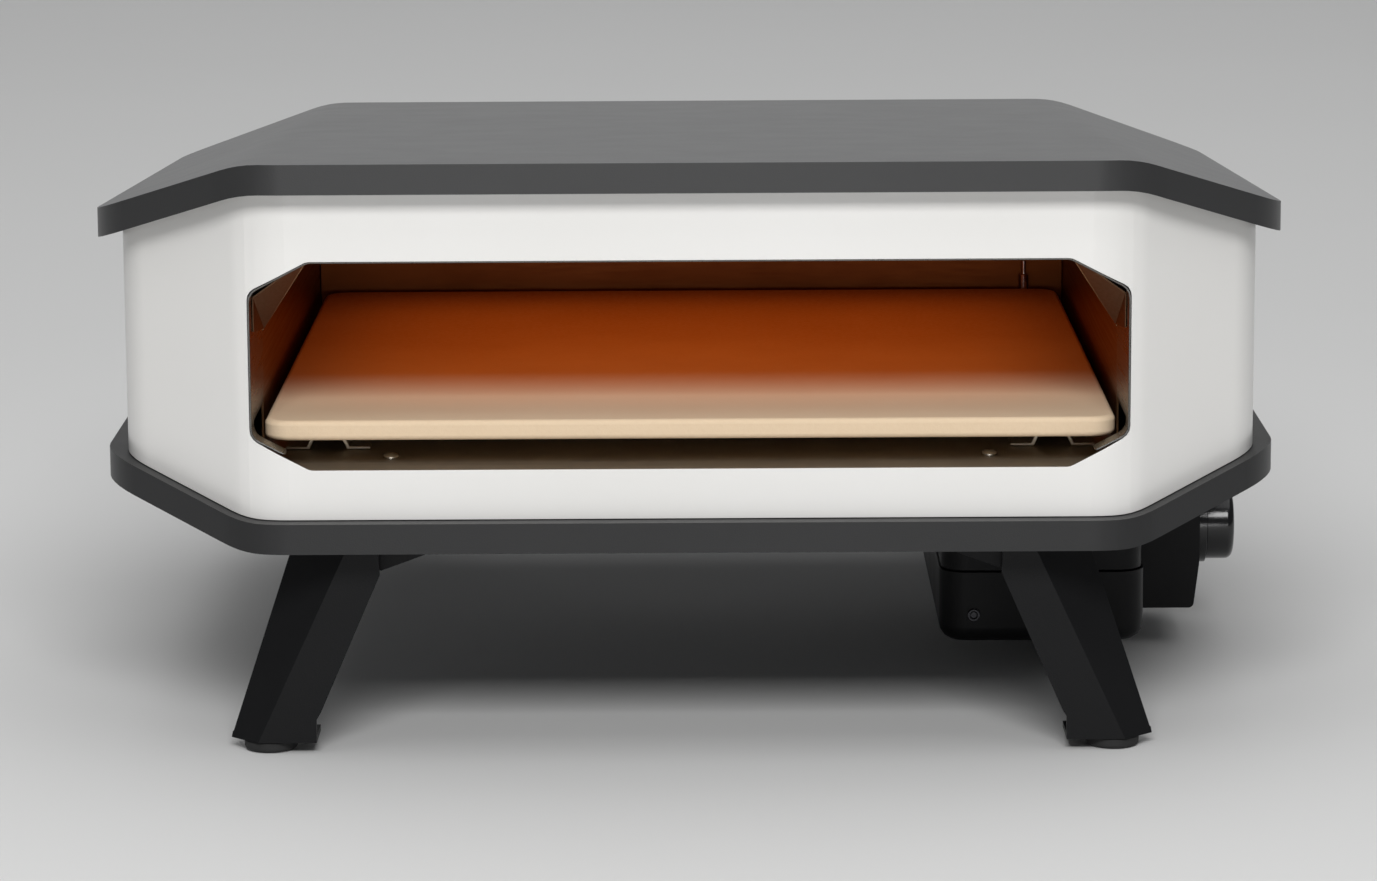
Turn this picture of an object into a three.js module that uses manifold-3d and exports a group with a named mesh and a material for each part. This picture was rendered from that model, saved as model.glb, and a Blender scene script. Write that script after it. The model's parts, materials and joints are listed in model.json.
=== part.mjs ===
// Portable gas pizza oven: a wedge-roofed steel oven on four folding legs, with a baking stone and a side gas control.
// Units are millimetres, +Z is up, -Y is the baking opening, and the origin is on the ground under the middle.
import * as THREE from 'three';
import { ConvexGeometry } from 'three/addons/geometries/ConvexGeometry.js';
import { mergeVertices } from 'three/addons/utils/BufferGeometryUtils.js';
import Module from 'manifold-3d';

const wasm = await Module();
wasm.setup();

// Shared fits
const seat = 0.3; // gap left between two pieces that touch
const overrun = 20; // how far a cutting solid runs past what it cuts
const pinClearance = 0.3; // play round a pin, as a radius

// Plan outline: an octagon with four corner chamfers, bent with a radius
const planHalfWidth = 300;
const planHalfDepth = 300;
const cornerAcross = 80; // how much of the front a corner chamfer takes
const cornerAlong = 75; // how much of the side it takes
const bendRadius = 54;
const bendSteps = 6;

// Roof: a flat middle that falls to the back, with shoulders that drop to both sides
const lidHeight = 301; // top of the lid at the front edge
const lidFall = 38; // how much lower the lid is at the back
const shoulderHalf = planHalfWidth - cornerAcross; // where the shoulders start, from the middle
const lidShoulderDrop = 27;
const lidSkirt = 15;
const lidWall = 1.2;
const foldRadius = 60;
const foldSteps = 4;

// Base tray: its rim rises to both sides as much as the roof drops
const trayTop = 121.7;
const trayInset = 3; // inside the lid's outline
const trayRise = 25;
const traySkirt = 15.2;
const trayWall = 1.2;

// White housing
const shellInset = 12.5; // inside the lid's outline
const shellWall = 1.2;
const shellFront = -(planHalfDepth - shellInset);
const shellInside = shellInset + shellWall + seat;
const rearWindowEdge = 135; // from the side of the plan to the window
const rearWindowLift = 20.3; // from the tray's top to the window
const rearWindowDrop = 41; // from the lid's top at the back to the window
const rearWindowHalf = planHalfWidth - rearWindowEdge;
const rearWindowLow = trayTop + rearWindowLift;
const rearWindowHigh = lidHeight - lidFall - rearWindowDrop;
const rearPanelWall = 1;
const rearPanelLap = 12; // how far the rear panel laps the housing
const ventWidth = 9;
const ventPitch = 20;
const ventCount = 13;
const ventShares = { low: 0.15, high: 0.575 }; // of the window's height
const rearScrewHeadRadius = 4;
const rearScrewHead = 2.2;
const rearScrewShank = 2;

// Baking opening: a lengthwise octagon in the front
const openingEdge = 82; // from the side of the plan to the opening
const openingLift = 25.3; // from the tray's top to the opening
const openingDrop = 49.7; // from the lid's top to the opening
const openingHalf = planHalfWidth - openingEdge;
const openingLow = trayTop + openingLift;
const openingHigh = lidHeight - openingDrop;
const openingCornerAcross = 30;
const openingCornerUp = 15.5;
const openingRadius = 7;
const openingSteps = 3;

// Steel trim inside the opening
const trimDepth = 16;
const trimWall = 1;
const trimSetBack = 3.2; // behind the housing's front
const trimWingDepth = 73; // how far the side wings run back from the housing's front
const trimWingShare = 0.7026; // of the height of the opening's straight side
const trimWingRound = 12;

// Oven chamber
const floorSink = 3; // below the opening's lower edge
const floorTop = openingLow - floorSink;
const sheet = 1;
const linerInset = 1; // inside the opening's side
const linerHalf = openingHalf - linerInset; // inner face of a side wall
const floorLap = 2.6; // how far the floor reaches past a side wall's inner face
const floorHalf = linerHalf + floorLap;
const linerFoldLift = 36.5; // from the stone's top to where a side wall leans in
const linerLeanAcross = 30;
const linerLeanUp = 46;
const linerRearInset = 38; // from the rear of the plan to the back wall
const linerRear = planHalfDepth - linerRearInset;
const linerDrop = 39; // from the lid's top to the underside of the chamber's roof
const linerHigh = lidHeight - linerDrop;

// Baking stone and its hat-shaped supports
const stoneSideGap = 4.5; // between the stone and a side wall
const stoneRearGap = 9.5; // between the stone and the burner's shield
const stoneSetBack = 19; // behind the housing's front
const stoneLift = 14.5;
const stoneThick = 10;
const stoneBottom = floorTop + stoneLift;
const linerFoldHigh = stoneBottom + stoneThick + linerFoldLift;
const stoneFront = shellFront + stoneSetBack;
const stoneHalf = linerHalf - stoneSideGap;
const stoneRadius = 12;
const stoneEdge = 1.6;
const supportInset = 49.5; // from the stone's side to a support's inner edge
const supportNear = stoneHalf - supportInset;
const supportWidth = 43;
const supportLength = 30;
const supportFlange = 12;
const supportSlope = 6;
const supportSetBack = 53.5; // from the stone's front to the front supports
const supportRearGap = 36; // from the rear supports to the burner's shield
const supportFrontY = stoneFront + supportSetBack;
const supportSheet = 1.5;

// Floor screws
const floorScrewInset = 61.5; // from the stone's side
const floorScrewBack = 30.5; // from the stone's front
const floorScrewX = stoneHalf - floorScrewInset;
const floorScrewY = stoneFront + floorScrewBack;
const floorScrewRadius = 4.2;
const floorScrewHead = 2.6;

// Burner along the back of the chamber
const burnerRearGap = 50; // from its axis to the back wall
const burnerY = linerRear - burnerRearGap;
const ceilingAt = (y) => linerHigh - (lidFall * (y + planHalfDepth)) / (planHalfDepth * 2);
const burnerShare = 0.3973; // of the chamber's height there
const burnerZ = floorTop + (ceilingAt(burnerY) - floorTop) * burnerShare;
const burnerRadius = 11;
const burnerWall = 1.2;
const burnerEndGap = 29; // from a side wall to the burner's closed end
const burnerHalf = linerHalf - burnerEndGap;
const burnerInletRadius = 9;
const burnerFoot = 8;
const burnerPortWidth = 2.4;
const burnerPortPitch = 22;
const burnerPortCount = 16;
const shieldGap = 46; // from the shield to the burner's axis
const shieldY = burnerY - shieldGap;
const shieldShare = 0.5862; // of the chamber's height there
const shieldTall = (ceilingAt(shieldY) - floorTop - seat) * shieldShare;
const shieldHigh = floorTop + seat + shieldTall;
const shieldFoot = 14;
const shieldSlotWidth = 26;
const shieldSlotHigh = 8;
const shieldSlotPitch = 40;
const shieldSlotCount = 9;
const shieldSlotLift = 5;
const electrodeX = 130;
const electrodeBack = 21; // behind the shield
const electrodeY = shieldY + electrodeBack;
const electrodeRadius = 3;
const electrodeShare = 0.5; // of the shield's height
const electrodeHigh = shieldTall * electrodeShare;
const electrodeTipRadius = 1.2;
const electrodeTip = 10;
const electrodeBase = 6;
const electrodeBaseHigh = 3;
const probeSideGap = 23;
const probeFrontGap = 6; // in front of the shield
const probeX = linerHalf - probeSideGap;
const probeY = shieldY - probeFrontGap;
const probeRadius = 2.8;
const probeBase = 5.4;
const probeShare = 0.62; // of the shield's height
const probeHigh = shieldTall * probeShare;
const probeTip = 8;

// Gas control under the tray, on the right
const boxWidth = 110;
const boxLength = 213;
const boxSideInset = 57; // inside the plan's side
const boxRight = planHalfWidth - boxSideInset;
const boxLeft = boxRight - boxWidth;
const boxFront = -103;
const boxRear = boxFront + boxLength;
const boxLow = 15.5;
const coverTall = 39.1;
const boxSeam = boxLow + coverTall;
const boxRadius = 15;
const boxWall = 1.6;
const boxBottomRound = 9;
const boxLip = 1.2; // how far the cover stands proud of the frame
const cheekOut = 36; // how far it stands out from the box
const cheekAhead = 32; // in front of the knob's axis
const cheekBehind = 46;
const cheekLift = 3.5; // above the box's bottom
const cheekDrop = 15.7; // below the tray's top
const cheekRound = 3;
const cheekTaper = 3.2; // how far the outer face draws in at the bottom
const cheekTaperTall = 26;
const cheekTaperRadius = 60;
const boxScrewRadius = 3.4;
const boxScrewHead = 1.8;
const boxScrewInset = 18; // from the box's left side
const boxScrewLift = 16; // above its bottom
const boxScrewX = boxLeft + boxScrewInset;
const boxScrewZ = boxLow + boxScrewLift;

// Gas valve, pipe and hose tail
const knobBack = 103; // behind the box's front
const knobLift = 45; // above its bottom
const knobY = boxFront + knobBack;
const knobZ = boxLow + knobLift;
const cheekRight = boxRight + cheekOut;
const cheekFront = knobY - cheekAhead;
const cheekRear = knobY + cheekBehind;
const cheekLow = boxLow + cheekLift;
const cheekHigh = trayTop - cheekDrop;
const cheekTaperHigh = cheekLow + cheekTaperTall;
const valveLength = 28;
const valveWidth = 26;
const valveHeight = 26;
const valveCollar = 8;
const pipeRadius = 4;
const pipeTurn = 12;
const pipeInset = 55; // from either side of the box
const pipeRiseInset = 26; // from its rear
const pipeUnderFloor = 10;
const pipeX = boxLeft + pipeInset;
const pipeRiseY = boxRear - pipeRiseInset;
const pipeRunZ = floorTop - pipeUnderFloor;
const pipeSides = 10;
const pipeSteps = 56;
const pipeOverFloor = 6;
const pipeEndZ = floorTop + pipeOverFloor;
const tailRadius = 5;
const tailBore = 3;
const tailReach = 26; // how far the hose tail stands behind the cheek
const tailNutRadius = 9;
const tailNut = 8;
const nutSides = 6;
const tailBarbRadius = 6.2;
const tailBarb = 5;

// Knob, its bezel and the spindle
const knobRadius = 20;
const knobLength = 15;
const knobRound = 4;
const knobDish = 1.2;
const knobDishRadius = 14;
const knobPush = 4;
const knobFace = 1.8; // left over the spindle bore
const knobMarkWidth = 2.4;
const knobMarkDeep = 1;
const bezelOuter = 21.8;
const bezelInner = 20.6;
const bezelLength = 5;
const bezelFloor = 1;
const spindleRadius = 3;
const spindleFlat = 2.1; // from the axis to the flat of the spindle
const roundSteps = 32;
const straightLimit = 1e-6;

// Folding legs, given for the leg at +X and -Y
const legInset = 25; // from the front of the plan
const legSideInset = 144; // from its side to the leg's inner edge at the top
const legFrontY = -(planHalfDepth - legInset);
const legWall = 3;
const legHeadroom = 9.7; // under the tray's top
const legHigh = trayTop - legHeadroom;
const legNear = planHalfWidth - legSideInset;
const legTopWidth = 12.4;
const legRidgeTop = legNear + legTopWidth; // where the front plate turns into the side plate, at the top
const legBendIn = 0.6;
const legBendNear = legNear - legBendIn;
const legBendDrop = 21;
const legBendHigh = legHigh - legBendDrop;
const legAnkleOut = 30;
const legAnkleNear = legNear + legAnkleOut;
const legAnkleHigh = 21;
const legHeelOut = 2.4;
const legHeelNear = legAnkleNear + legHeelOut;
const legHeelHigh = 17;
const legSoleWidth = 29.6;
const legRidgeSole = legHeelNear + legSoleWidth;
const legSideSpread = 30; // how far the side plate runs outward at the top
const legSideDepth = 29; // and how far back
const legWebRear = 28; // from the front plate's face to the web's rear face
const legWebTall = 22;
const legWebLow = legHigh - legWebTall;
const legSoleSide = 14; // how far back the side plate runs at the sole
const legSoleRear = 27.5;
const legSoleSpread = 10; // how much of the side the sole's rear leaves out
const legPivotOut = 9; // from the leg's inner edge
const legPivotDrop = 8; // from its top
const legPivotX = legNear + legPivotOut;
const legPivotZ = legHigh - legPivotDrop;
const legPinRadius = 3;
const legPinHead = 1.8;
const legPinHeadRadius = 5.5;
const footHigh = 5;
const footOut = 24.1; // from the heel
const footBack = 14; // from the leg's front
const footX = legHeelNear + footOut;
const footY = legFrontY + footBack;
const footRadius = 13.4;
const footRound = 1.8;

// Hinge brackets of the legs
const bracketFloor = 1.6;
const earWall = 2;
const earSpacer = 5; // room between the leg's front plate and the front ear
const earSpacerRadius = 4.9;
const earRadius = 9.2;
const earReach = 32; // inward from the pin
const earTipDrop = 4; // under the pin, at the inner end
const earBendReach = 10;
const earDrop = 12;
const stopOut = 13; // outward from the pin
const stopWidth = 12;
const stopBack = 13; // behind the leg's front
const stopDepth = 6;

const materials = {
  whitePaint: new THREE.MeshStandardMaterial({ color: 0xe9e8e4, roughness: 0.38, metalness: 0 }),
  blackPaint: new THREE.MeshStandardMaterial({ color: 0x2b2c2e, roughness: 0.55, metalness: 0 }),
  steel: new THREE.MeshStandardMaterial({ color: 0xa9a49c, roughness: 0.34, metalness: 1 }),
  screwSteel: new THREE.MeshStandardMaterial({ color: 0xc8c8c8, roughness: 0.25, metalness: 1 }),
  stone: new THREE.MeshStandardMaterial({ color: 0xe3d2b6, roughness: 0.92, metalness: 0 }),
  brass: new THREE.MeshStandardMaterial({ color: 0xb08d4a, roughness: 0.35, metalness: 1 }),
  knobBlack: new THREE.MeshStandardMaterial({ color: 0x1d1d1f, roughness: 0.3, metalness: 0 }),
  rubber: new THREE.MeshStandardMaterial({ color: 0x232323, roughness: 0.85, metalness: 0 }),
  ceramic: new THREE.MeshStandardMaterial({ color: 0xe8e4dc, roughness: 0.5, metalness: 0 }),
};
const oven = new THREE.Group();

// Solids from geometry

function solidOf(geometry) {
  const plain = geometry.index ? geometry.toNonIndexed() : geometry.clone();
  for (const name of Object.keys(plain.attributes)) {
    if (name !== 'position') {
      plain.deleteAttribute(name);
    }
  }
  const merged = mergeVertices(plain);
  return new wasm.Manifold(new wasm.Mesh({
    numProp: 3,
    vertProperties: new Float32Array(merged.attributes.position.array),
    triVerts: new Uint32Array(merged.index.array),
  }));
}

function geometryOf(solid) {
  const data = solid.getMesh();
  const geometry = new THREE.BufferGeometry();
  geometry.setAttribute('position', new THREE.BufferAttribute(data.vertProperties, data.numProp));
  geometry.setIndex(new THREE.BufferAttribute(data.triVerts, 1));
  geometry.computeVertexNormals();
  return geometry;
}

// A piece built for one corner is mirrored to the others by sides of 1 or -1
function addPiece(name, solid, material, sideX = 1, sideY = 1) {
  const geometry = geometryOf(solid);
  geometry.scale(sideX, sideY, 1);
  if (sideX !== sideY) {
    geometry.index.array.reverse();
    geometry.computeVertexNormals();
  }
  const mesh = new THREE.Mesh(geometry, material);
  mesh.name = name;
  oven.add(mesh);
}

function union(solids) {
  return solids.reduce((whole, next) => whole.add(next));
}

// Outlines

function rounded(corners, radius, steps) {
  const shape = new THREE.Shape();
  corners.forEach((corner, i) => {
    const before = corners[(i + corners.length - 1) % corners.length];
    const after = corners[(i + 1) % corners.length];
    const inward = before.clone().sub(corner).normalize();
    const outward = after.clone().sub(corner).normalize();
    const half = Math.acos(THREE.MathUtils.clamp(inward.dot(outward), -1, 1)) / 2;
    const r = corner.radius ?? radius;
    if (r === 0 || Math.cos(half) < straightLimit) {
      addPoint(shape, corner, i === 0);
      return;
    }
    const middle = inward.clone().add(outward).normalize().multiplyScalar(r / Math.sin(half)).add(corner);
    const first = inward.multiplyScalar(r / Math.tan(half)).add(corner).sub(middle);
    const last = outward.multiplyScalar(r / Math.tan(half)).add(corner).sub(middle);
    const turn = Math.atan2(first.cross(last), first.dot(last));
    for (let step = 0; step <= steps; step += 1) {
      const point = first.clone().rotateAround(new THREE.Vector2(), (turn * step) / steps).add(middle);
      addPoint(shape, point, i === 0 && step === 0);
    }
  });
  shape.closePath();
  return shape;
}

function addPoint(shape, point, isFirst) {
  if (isFirst) {
    shape.moveTo(point.x, point.y);
  } else {
    shape.lineTo(point.x, point.y);
  }
}

function polygon(pairs, radius = 0, steps = 1) {
  return rounded(pairs.map(([x, y]) => new THREE.Vector2(x, y)), radius, steps);
}

// An octagon with corner cuts of (across, along), moved inward all round by an inset
function octagon(halfX, halfY, across, along, inset) {
  const slant = Math.hypot(across, along);
  const x = halfX - inset;
  const y = halfY - inset;
  const reach = along * halfX + across * halfY - across * along - inset * slant;
  const cutX = (reach - across * y) / along;
  const cutY = (reach - along * x) / across;
  return [[cutX, -y], [x, -cutY], [x, cutY], [cutX, y], [-cutX, y], [-x, cutY], [-x, -cutY], [-cutX, -y]];
}

// Prisms along Z, Y and X

function prismZ(shape, low, high) {
  const geometry = new THREE.ExtrudeGeometry(shape, { depth: high - low, bevelEnabled: false });
  return solidOf(geometry.translate(0, 0, low));
}

function lengthwise(shape, front, rear) {
  const geometry = new THREE.ExtrudeGeometry(shape, { depth: rear - front, bevelEnabled: false });
  return geometry.rotateX(Math.PI / 2).translate(0, rear, 0);
}

function prismY(shape, front, rear) {
  return solidOf(lengthwise(shape, front, rear));
}

function prismX(shape, left, right) {
  const geometry = new THREE.ExtrudeGeometry(shape, { depth: right - left, bevelEnabled: false });
  return solidOf(geometry.rotateX(Math.PI / 2).rotateZ(Math.PI / 2).translate(left, 0, 0));
}

function block(left, right, front, rear, low, high) {
  const geometry = new THREE.BoxGeometry(right - left, rear - front, high - low);
  return solidOf(geometry.translate((left + right) / 2, (front + rear) / 2, (low + high) / 2));
}

function disc(radius, low, high, x, y, steps = roundSteps) {
  const geometry = new THREE.CylinderGeometry(radius, radius, high - low, steps);
  return solidOf(geometry.rotateX(Math.PI / 2).translate(x, y, (low + high) / 2));
}

function rodY(radius, front, rear, x, z, steps = roundSteps) {
  const geometry = new THREE.CylinderGeometry(radius, radius, rear - front, steps);
  return solidOf(geometry.translate(x, (front + rear) / 2, z));
}

function rodX(radius, left, right, y, z, steps = roundSteps) {
  const geometry = new THREE.CylinderGeometry(radius, radius, right - left, steps);
  return solidOf(geometry.rotateZ(Math.PI / 2).translate((left + right) / 2, y, z));
}

// Everything under a folded surface: a flat middle, shoulders that drop to both sides, and a fall to the back
function under(height, drop, fall) {
  const reach = planHalfWidth + overrun;
  const edge = height - (drop / (planHalfWidth - shoulderHalf)) * (reach - shoulderHalf);
  const corners = [[-reach, -overrun], [reach, -overrun], [reach, edge], [shoulderHalf, height], [-shoulderHalf, height],
    [-reach, edge]].map(([x, z]) => new THREE.Vector2(x, z));
  corners.forEach((corner) => {
    corner.radius = Math.abs(corner.x) === shoulderHalf ? foldRadius : 0;
  });
  const end = planHalfDepth + overrun;
  const slope = fall / (planHalfDepth * 2);
  const shear = new THREE.Matrix4().set(1, 0, 0, 0, 0, 1, 0, 0, 0, -slope, 1, -slope * planHalfDepth, 0, 0, 0, 1);
  return solidOf(lengthwise(rounded(corners, 0, foldSteps), -end, end).applyMatrix4(shear));
}

const underRoof = (depth) => under(lidHeight - depth, lidShoulderDrop, lidFall);
const underTray = (depth) => under(trayTop - depth, -trayRise, 0);
const underCeiling = (lift) => under(linerHigh + lift, 0, lidFall);

function planPrism(inset) {
  const corners = octagon(planHalfWidth, planHalfDepth, cornerAcross, cornerAlong, inset);
  return prismZ(polygon(corners, bendRadius - inset, bendSteps), 0, lidHeight + overrun);
}

function openingOutline(inset) {
  const high = (openingHigh - openingLow) / 2;
  const corners = octagon(openingHalf, high, openingCornerAcross, openingCornerUp, inset);
  const middle = (openingHigh + openingLow) / 2;
  return polygon(corners.map(([x, z]) => [x, z + middle]), openingRadius, openingSteps);
}

// Covers

function lid() {
  const inside = planPrism(lidWall).intersect(underRoof(lidWall));
  return planPrism(0).intersect(underRoof(0)).subtract(inside).subtract(underRoof(lidSkirt));
}

function baseTray() {
  const inside = planPrism(trayInset + trayWall).intersect(underTray(trayWall));
  const pipeHole = disc(pipeRadius + pinClearance, 0, lidHeight, pipeX, pipeRiseY, pipeSides);
  const whole = planPrism(trayInset).intersect(underTray(0)).subtract(inside).subtract(underTray(traySkirt));
  return whole.subtract(pipeHole);
}

function outerShell() {
  const band = planPrism(shellInset).subtract(planPrism(shellInset + shellWall));
  const end = planHalfDepth + overrun;
  const window = block(-rearWindowHalf, rearWindowHalf, 0, end, rearWindowLow, rearWindowHigh);
  const standing = band.intersect(underRoof(lidWall + seat)).subtract(underTray(-seat));
  return standing.subtract(prismY(openingOutline(0), -end, 0)).subtract(window).subtract(union(screwHoles()));
}

// Rear panel with its vents and screws

function rearScrewPlaces() {
  const x = rearWindowHalf + rearPanelLap / 2;
  const low = rearWindowLow + rearScrewHeadRadius;
  const high = rearWindowHigh - rearScrewHeadRadius;
  return [-x, x].flatMap((side) => [low, high].map((z) => [side, z]));
}

function screwHoles() {
  const end = planHalfDepth + overrun;
  return rearScrewPlaces().map(([x, z]) => rodY(rearScrewShank + pinClearance, 0, end, x, z, pipeSides));
}

function rearPanel() {
  const outside = -shellFront - shellWall - seat;
  const half = rearWindowHalf + rearPanelLap;
  const low = rearWindowLow - rearPanelLap;
  const sheetBlock = block(-half, half, outside - rearPanelWall, outside, low, rearWindowHigh + rearPanelLap);
  const inWindow = (share) => rearWindowLow + (rearWindowHigh - rearWindowLow) * share;
  const vents = [];
  for (let i = 0; i < ventCount; i += 1) {
    const x = (i - (ventCount - 1) / 2) * ventPitch;
    const end = outside + overrun;
    vents.push(block(x - ventWidth / 2, x + ventWidth / 2, 0, end, inWindow(ventShares.low), inWindow(ventShares.high)));
  }
  return sheetBlock.subtract(union(vents)).subtract(union(screwHoles()));
}

function rearScrew([x, z]) {
  const face = -shellFront + seat;
  const shankEnd = -shellFront - shellWall - seat - rearPanelWall;
  const head = rodY(rearScrewHeadRadius, face, face + rearScrewHead, x, z, roundSteps / 2);
  return head.add(rodY(rearScrewShank, shankEnd, face + rearScrewHead / 2, x, z, pipeSides));
}

// Oven chamber

const trimWingRear = shellFront + trimWingDepth;

function openingTrim() {
  const front = shellFront + trimSetBack;
  const rear = shellFront + trimDepth;
  const sill = openingLow + openingCornerUp / 2;
  const tube = prismY(openingOutline(seat), front, rear).subtract(
    prismY(openingOutline(seat + trimWall), front - overrun, rear + overrun));
  const ring = tube.subtract(block(-planHalfWidth, planHalfWidth, -planHalfDepth, 0, 0, sill));
  const low = openingLow + openingCornerUp + openingRadius;
  const tall = (openingHigh - openingLow - 2 * openingCornerUp) * trimWingShare;
  const high = low + tall;
  const corners = [[front, low], [trimWingRear, low], [trimWingRear, high], [front, high]];
  const wing = polygon(corners, Math.min(trimWingRound, tall / 3), bendSteps);
  const outer = openingHalf - seat;
  const wings = [-outer, outer - trimWall].map((left) => prismX(wing, left, left + trimWall));
  return union([ring, ...wings]);
}

function floorPan() {
  const rear = planHalfDepth - shellInside - rearPanelWall - seat;
  const top = block(-floorHalf, floorHalf, -planHalfDepth, rear, 0, floorTop).subtract(
    block(-floorHalf + sheet, floorHalf - sheet, -planHalfDepth, rear, 0, floorTop - sheet));
  const holes = floorScrewPlaces().map(([x, y]) => disc(rearScrewShank + pinClearance, 0, lidHeight, x, y, pipeSides));
  holes.push(disc(pipeRadius + pinClearance, 0, lidHeight, pipeX, burnerY, pipeSides));
  return top.intersect(planPrism(shellInside)).subtract(underTray(-seat)).subtract(union(holes));
}

function linerSide(side) {
  const low = floorTop + seat;
  const outer = linerHalf + sheet;
  const lean = linerLeanAcross / linerLeanUp;
  const rise = lidHeight - linerFoldHigh;
  const outline = [[linerHalf, low], [outer, low], [outer, linerFoldHigh], [outer - lean * rise, lidHeight],
    [linerHalf - lean * rise, lidHeight], [linerHalf, linerFoldHigh]];
  const sided = side > 0 ? outline : outline.map(([x, z]) => [-x, z]).reverse();
  const wall = prismY(polygon(sided), trimWingRear + seat, linerRear + sheet);
  return wall.intersect(underCeiling(-seat));
}

function linerBack() {
  const half = linerHalf - seat;
  const lean = (linerLeanAcross / linerLeanUp) * (lidHeight - linerFoldHigh);
  const low = floorTop + seat;
  const outline = [[-half, low], [half, low], [half, linerFoldHigh], [half - lean, lidHeight],
    [lean - half, lidHeight], [-half, linerFoldHigh]];
  return prismY(polygon(outline), linerRear, linerRear + sheet).intersect(underCeiling(-seat));
}

function linerRoof() {
  const half = linerHalf + sheet;
  const plate = block(-half, half, -planHalfDepth, linerRear + sheet, 0, lidHeight);
  return plate.intersect(planPrism(shellInside)).intersect(underCeiling(sheet)).subtract(underCeiling(0));
}

function pizzaStone() {
  const half = stoneHalf;
  const front = stoneFront;
  const rear = shieldY - stoneRearGap;
  const square = (inset) => polygon([[-half + inset, front + inset], [half - inset, front + inset],
    [half - inset, rear - inset], [-half + inset, rear - inset]], stoneRadius, bendSteps);
  const layers = [];
  for (const [inset, low, high] of [[stoneEdge, 0, stoneThick], [0, stoneEdge, stoneThick - stoneEdge]]) {
    layers.push([square(inset), stoneBottom + low, stoneBottom + high]);
  }
  const corner = (shape, z) => shape.getPoints().map((p) => new THREE.Vector3(p.x, p.y, z));
  const points = layers.flatMap(([shape, low, high]) => [...corner(shape, low), ...corner(shape, high)]);
  return solidOf(new ConvexGeometry(points));
}

const supportRearY = shieldY - supportRearGap - supportLength;

function stoneSupport(side, front) {
  const far = supportNear + supportWidth;
  const low = floorTop + seat;
  const high = stoneBottom - seat;
  const rise = supportNear + supportFlange;
  const fall = far - supportFlange;
  const top = high - supportSheet;
  const outline = [[supportNear, low], [rise, low], [rise + supportSlope, top], [fall - supportSlope, top],
    [fall, low], [far, low], [far, low + supportSheet], [fall + supportSheet, low + supportSheet],
    [fall - supportSlope + supportSheet, high], [rise + supportSlope - supportSheet, high],
    [rise - supportSheet, low + supportSheet], [supportNear, low + supportSheet]];
  const sided = side > 0 ? outline : outline.map(([x, z]) => [-x, z]).reverse();
  return prismY(polygon(sided), front, front + supportLength);
}

function floorScrewPlaces() {
  return [-floorScrewX, floorScrewX].map((x) => [x, floorScrewY]);
}

function domedScrew(radius, height, x, y, z) {
  const profile = [new THREE.Vector2(0, 0), new THREE.Vector2(radius, 0)];
  for (let step = 0; step <= bendSteps; step += 1) {
    const angle = ((step / bendSteps) * Math.PI) / 2;
    const spread = step === bendSteps ? 0 : radius * Math.cos(angle);
    profile.push(new THREE.Vector2(spread, height / 3 + ((height * 2) / 3) * Math.sin(angle)));
  }
  const lathe = new THREE.LatheGeometry(profile, roundSteps / 2);
  return solidOf(lathe.rotateX(Math.PI / 2).translate(x, y, z));
}

function floorScrew([x, y]) {
  const head = domedScrew(floorScrewRadius, floorScrewHead, x, y, floorTop + seat);
  return head.add(disc(rearScrewShank, floorTop - sheet, floorTop + floorScrewHead / 3, x, y, pipeSides));
}

// Burner and what stands round it

function burner() {
  const inner = burnerRadius - burnerWall;
  const low = floorTop + seat;
  const body = rodX(burnerRadius, -burnerHalf, pipeX + burnerInletRadius, burnerY, burnerZ, roundSteps / 2)
    .add(disc(burnerInletRadius, low, burnerZ, pipeX, burnerY, roundSteps / 2));
  const bore = rodX(inner, burnerWall - burnerHalf, pipeX + burnerInletRadius - burnerWall, burnerY, burnerZ,
    roundSteps / 2).add(disc(burnerInletRadius - burnerWall, 0, burnerZ, pipeX, burnerY, roundSteps / 2));
  const ports = [];
  for (let i = 0; i < burnerPortCount; i += 1) {
    const x = (i - (burnerPortCount - 1) / 2) * burnerPortPitch;
    const high = burnerZ + burnerRadius + overrun;
    ports.push(block(x - burnerPortWidth / 2, x + burnerPortWidth / 2, burnerY - inner / 2, burnerY + inner / 2,
      burnerZ, high));
  }
  const foot = block(-burnerHalf, burnerFoot - burnerHalf, burnerY - burnerFoot, burnerY + burnerFoot, low, burnerZ);
  return body.add(foot).subtract(bore).subtract(union(ports));
}

function burnerShield() {
  const half = linerHalf - seat;
  const low = floorTop + seat;
  const plate = block(-half, half, shieldY, shieldY + sheet, low, shieldHigh);
  const foot = block(-half, half, shieldY, shieldY + shieldFoot, low, low + sheet);
  const slotLow = floorTop + shieldSlotLift;
  const slots = [];
  for (let i = 0; i < shieldSlotCount; i += 1) {
    const x = (i - (shieldSlotCount - 1) / 2) * shieldSlotPitch;
    slots.push(block(x - shieldSlotWidth / 2, x + shieldSlotWidth / 2, shieldY - overrun, shieldY + shieldFoot + overrun,
      slotLow, slotLow + shieldSlotHigh));
  }
  return plate.add(foot).subtract(union(slots));
}

// A rod on a round base, with a thinner tip
function standingRod(x, y, baseRadius, radius, length, tipLength) {
  const low = floorTop + seat;
  const high = low + length;
  const base = disc(baseRadius, low, low + electrodeBaseHigh, x, y, roundSteps / 2);
  const tip = disc(electrodeTipRadius, high - electrodeBaseHigh, high + tipLength, x, y, pipeSides);
  return union([base, disc(radius, low, high, x, y, pipeSides), tip]);
}

// Gas control

function controlFrame() {
  const ring = boxPrism(boxLip, boxSeam + seat, lidHeight).subtract(boxPrism(boxLip + boxWall, 0, lidHeight));
  const pipeNotch = block(boxRight - boxRadius, cheekRight, knobY - pipeTurn, knobY + pipeTurn, 0, knobZ + pipeTurn);
  return ring.intersect(underTray(trayWall + seat)).subtract(pipeNotch);
}

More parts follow.
